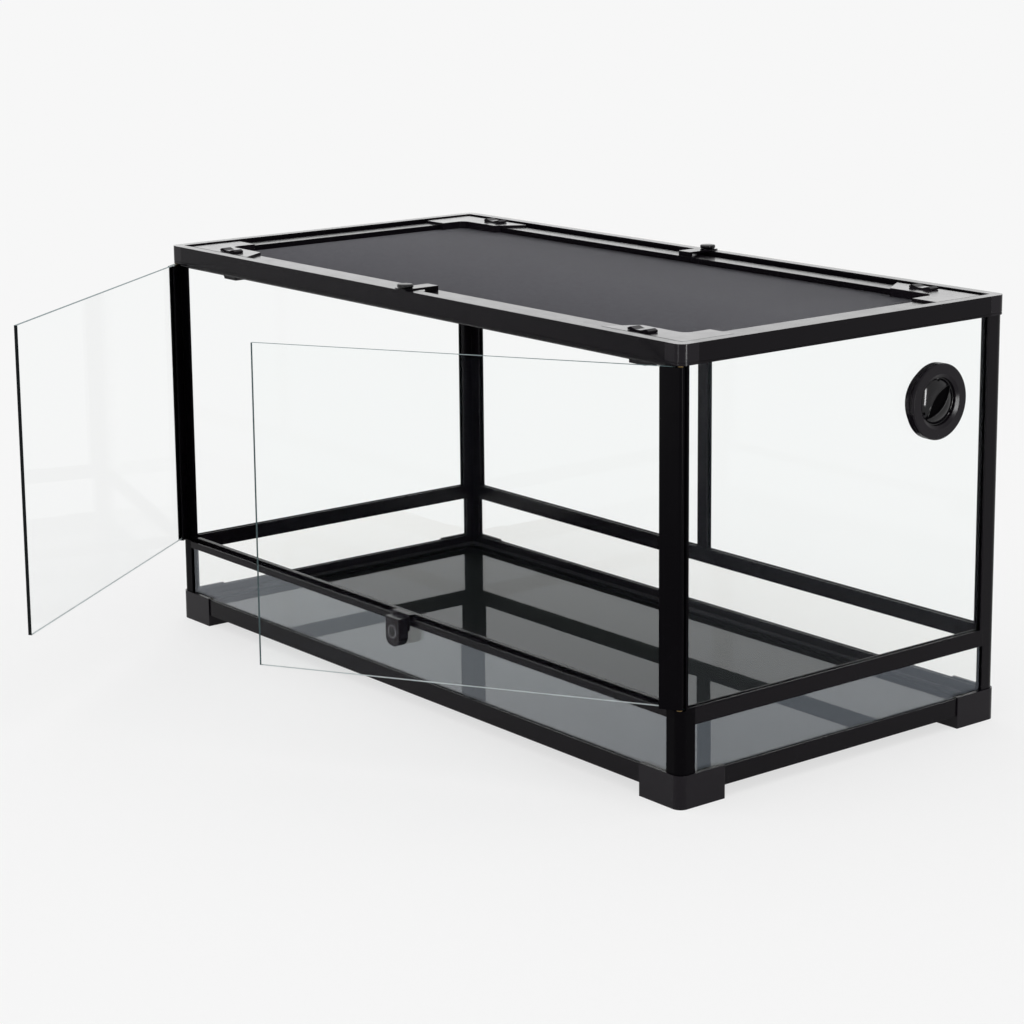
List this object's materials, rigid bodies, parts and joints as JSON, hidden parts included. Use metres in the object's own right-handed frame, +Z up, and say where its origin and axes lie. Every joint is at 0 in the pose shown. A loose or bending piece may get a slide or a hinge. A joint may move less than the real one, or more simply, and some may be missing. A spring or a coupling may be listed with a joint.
{
  "type": "reptile terrarium",
  "caption": "Glass reptile terrarium with two hinged front doors, a key lock, a round cable port and a lift-off screen cover in a black frame on corner feet.",
  "frame": {"origin": "middle of the tank's footprint, on the plane the feet stand on", "axes": "+X to the right along the front, +Y towards the back, +Z up"},
  "size_m": [0.9205, 0.8159, 0.4683],
  "materials": {
    "frame": "semi-gloss black coating",
    "plastic": "semi-gloss black",
    "glass": "clear, slightly green at its edges",
    "liner": "matte black",
    "brass": "plain",
    "mesh": "fine dark mesh",
    "steel": "dark satin"
  },
  "bodies": {
    "tank": {"base_rail_front": "frame", "base_rail_right": "frame", "base_rail_back": "frame", "base_rail_left": "frame", "foot_front_left": "plastic", "foot_front_right": "plastic", "foot_back_left": "plastic", "foot_back_right": "plastic", "floor_glass": "glass", "floor_liner": "liner", "lower_posts_front": "frame", "lower_posts_back": "frame", "lower_pane_front": "glass", "lower_pane_right": "glass", "lower_pane_back": "glass", "lower_pane_left": "glass", "mid_rail_front": "frame", "mid_rail_right": "frame", "mid_rail_back": "frame", "mid_rail_left": "frame", "back_post_left": "frame", "back_post_right": "frame", "front_jamb_left": "frame", "front_jamb_right": "frame", "back_mullion": "frame", "upper_pane_left": "glass", "upper_pane_right": "glass", "upper_pane_back_left": "glass", "upper_pane_back_right": "glass", "top_rail_front": "frame", "top_rail_right": "frame", "top_rail_back": "frame", "top_rail_left": "frame", "top_corner_front_left": "plastic", "top_corner_front_right": "plastic", "top_corner_back_left": "plastic", "top_corner_back_right": "plastic", "lock_body": "plastic", "lock_clip": "plastic", "port_flange": "plastic", "port_ring": "plastic"},
    "left_door": {"door_glass_left": "glass", "hinge_strip_left": "plastic", "hinge_pins_left": "brass"},
    "right_door": {"door_glass_right": "glass", "hinge_strip_right": "plastic", "hinge_pins_right": "brass"},
    "lock_key_plug": {"lock_plug": "steel"},
    "lock_bolt_plate": {"lock_bolt": "steel"},
    "port_closure": {"port_dial": "plastic"},
    "screen_cover": {"cover_rails": "frame", "cover_corners": "plastic", "cover_mesh": "mesh", "cover_clips": "frame"},
    "front_left_latch": {"latch_front_left": "plastic"},
    "front_right_latch": {"latch_front_right": "plastic"},
    "back_left_latch": {"latch_back_left": "plastic"},
    "back_right_latch": {"latch_back_right": "plastic"},
    "front_thumb_screw": {"thumb_screw_front": "plastic"},
    "back_thumb_screw": {"thumb_screw_back": "plastic"}
  },
  "joints": [
    {"name": "left_door_hinge", "type": "hinge", "parent": "tank", "child": "left_door", "pos_m": [-0.451, -0.2235, 0.27], "axis": [0, 0, -1], "range_deg": [-53.5, 66.5]},
    {"name": "right_door_hinge", "type": "hinge", "parent": "tank", "child": "right_door", "pos_m": [0.451, -0.2235, 0.27], "axis": [0, 0, 1], "range_deg": [-31, 89]},
    {"name": "key_turn", "type": "hinge", "parent": "tank", "child": "lock_key_plug", "pos_m": [0, -0.235, 0.0835], "axis": [0, 1, 0], "range_deg": [0, 180]},
    {"name": "bolt_rise", "type": "slide", "parent": "tank", "child": "lock_bolt_plate", "axis": [0, 0, 1], "range_m": [0, 0.008]},
    {"name": "port_turn", "type": "hinge", "parent": "tank", "child": "port_closure", "pos_m": [0.4535, 0.1235, 0.362], "axis": [1, 0, 0], "range_deg": [0, 90]},
    {"name": "cover_lift", "type": "slide", "parent": "tank", "child": "screen_cover", "axis": [0, 0, 1], "range_m": [0, 0.06]},
    {"name": "front_left_latch_slide", "type": "slide", "parent": "screen_cover", "child": "front_left_latch", "axis": [0, -1, 0], "range_m": [0, 0.007]},
    {"name": "front_right_latch_slide", "type": "slide", "parent": "screen_cover", "child": "front_right_latch", "axis": [0, -1, 0], "range_m": [0, 0.007]},
    {"name": "back_left_latch_slide", "type": "slide", "parent": "screen_cover", "child": "back_left_latch", "axis": [0, 1, 0], "range_m": [0, 0.007]},
    {"name": "back_right_latch_slide", "type": "slide", "parent": "screen_cover", "child": "back_right_latch", "axis": [0, 1, 0], "range_m": [0, 0.007]},
    {"name": "front_screw_turn", "type": "hinge", "parent": "screen_cover", "child": "front_thumb_screw", "pos_m": [0.01, -0.2215, 0.462], "axis": [0, 0, 1], "continuous": true},
    {"name": "back_screw_turn", "type": "hinge", "parent": "screen_cover", "child": "back_thumb_screw", "pos_m": [0.005, 0.2215, 0.462], "axis": [0, 0, 1], "continuous": true}
  ],
  "couplings": [
    {"joint": "key_turn", "follows": "bolt_rise", "rad_per_m": 392.7}
  ]
}
